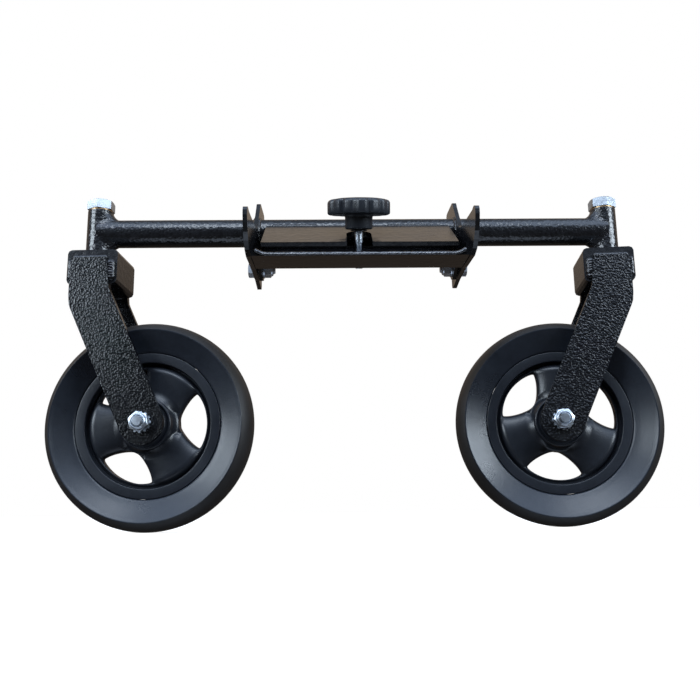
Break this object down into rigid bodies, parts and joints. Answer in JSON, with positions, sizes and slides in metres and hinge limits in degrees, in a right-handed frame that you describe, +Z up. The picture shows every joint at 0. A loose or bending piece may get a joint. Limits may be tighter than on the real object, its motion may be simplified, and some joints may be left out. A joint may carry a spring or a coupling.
{
  "type": "trailer jack wheel",
  "caption": "Crossbar with a swivelling caster wheel at each end and a knob-tightened clamp in the middle that grips the foot plate of a trailer jack.",
  "frame": {"origin": "centre of the clamp slot, on the middle plane of the clamp", "axes": "+X along the crossbar towards the right caster, +Z up along both swivel axes, -Y the side with the knob"},
  "size_m": [0.5971, 0.1687, 0.3316],
  "materials": {
    "black_paint": "hammered gloss powder coat",
    "zinc": "bright zinc plate",
    "bearing_steel": "ground steel",
    "bronze": "sintered bronze",
    "tyre_rubber": "satin black rubber",
    "rim_plastic": "satin black moulded plastic",
    "knob_plastic": "matte black moulded plastic"
  },
  "bodies": {
    "frame": {"crossbar_tube": "black_paint", "steerer_tube_left": "black_paint", "steerer_tube_right": "black_paint", "steerer_bushes": "bronze", "upper_jaw_plate": "black_paint", "side_plate_left": "black_paint", "side_plate_right": "black_paint", "pivot_bolts": "zinc", "pivot_washers": "zinc", "pivot_nuts": "zinc"},
    "lower_jaw": {"jaw_tray": "black_paint", "jaw_weld_nut": "zinc"},
    "screw_washer": {"thrust_washer": "black_paint"},
    "clamp_screw": {"clamp_knob": "knob_plastic", "clamp_stud": "zinc"},
    "left_fork": {"fork_crown_left": "black_paint", "fork_leg_front_left": "black_paint", "fork_leg_rear_left": "black_paint", "swivel_bolt_left": "zinc", "swivel_washers_left": "zinc", "swivel_nut_left": "zinc", "axle_bolt_left": "zinc", "axle_nut_left": "zinc", "tooth_washers_left": "zinc", "axle_spacers_left": "zinc", "bearing_inner_races_left": "bearing_steel", "bearing_spacer_left": "zinc"},
    "left_wheel": {"tyre_left": "tyre_rubber", "wheel_rim_left": "rim_plastic", "bearing_outer_races_left": "bearing_steel", "bearing_balls_left": "bearing_steel"},
    "right_fork": {"fork_crown_right": "black_paint", "fork_leg_front_right": "black_paint", "fork_leg_rear_right": "black_paint", "swivel_bolt_right": "zinc", "swivel_washers_right": "zinc", "swivel_nut_right": "zinc", "axle_bolt_right": "zinc", "axle_nut_right": "zinc", "tooth_washers_right": "zinc", "axle_spacers_right": "zinc", "bearing_inner_races_right": "bearing_steel", "bearing_spacer_right": "zinc"},
    "right_wheel": {"tyre_right": "tyre_rubber", "wheel_rim_right": "rim_plastic", "bearing_outer_races_right": "bearing_steel", "bearing_balls_right": "bearing_steel"}
  },
  "joints": [
    {"name": "left_swivel", "type": "hinge", "parent": "frame", "child": "left_fork", "pos_m": [-0.2615, 0.03447, -0.01571], "axis": [0, 0, 1], "continuous": true},
    {"name": "right_swivel", "type": "hinge", "parent": "frame", "child": "right_fork", "pos_m": [0.2545, 0.03447, -0.01571], "axis": [0, 0, 1], "continuous": true},
    {"name": "left_wheel_spin", "type": "hinge", "parent": "left_fork", "child": "left_wheel", "pos_m": [-0.20208, 0.03136, -0.16571], "axis": [-0.0523, -0.9986, 0], "continuous": true},
    {"name": "right_wheel_spin", "type": "hinge", "parent": "right_fork", "child": "right_wheel", "pos_m": [0.19544, 0.04172, -0.16571], "axis": [-0.1219, -0.9925, 0], "continuous": true},
    {"name": "jaw_hinge", "type": "hinge", "parent": "frame", "child": "lower_jaw", "pos_m": [0, 0.03217, -0.00972], "axis": [-1, 0, 0], "range_deg": [0, 4]},
    {"name": "washer_travel", "type": "slide", "parent": "lower_jaw", "child": "screw_washer", "axis": [0, -0.309, 0.9511], "range_m": [0, 0.006]},
    {"name": "knob_turn", "type": "hinge", "parent": "screw_washer", "child": "clamp_screw", "pos_m": [0, -0.01263, 0.01188], "axis": [0, -0.309, 0.9511], "range_deg": [0, 1728]}
  ],
  "couplings": [
    {"joint": "washer_travel", "follows": "knob_turn", "m_per_rad": 0.00019894}
  ]
}
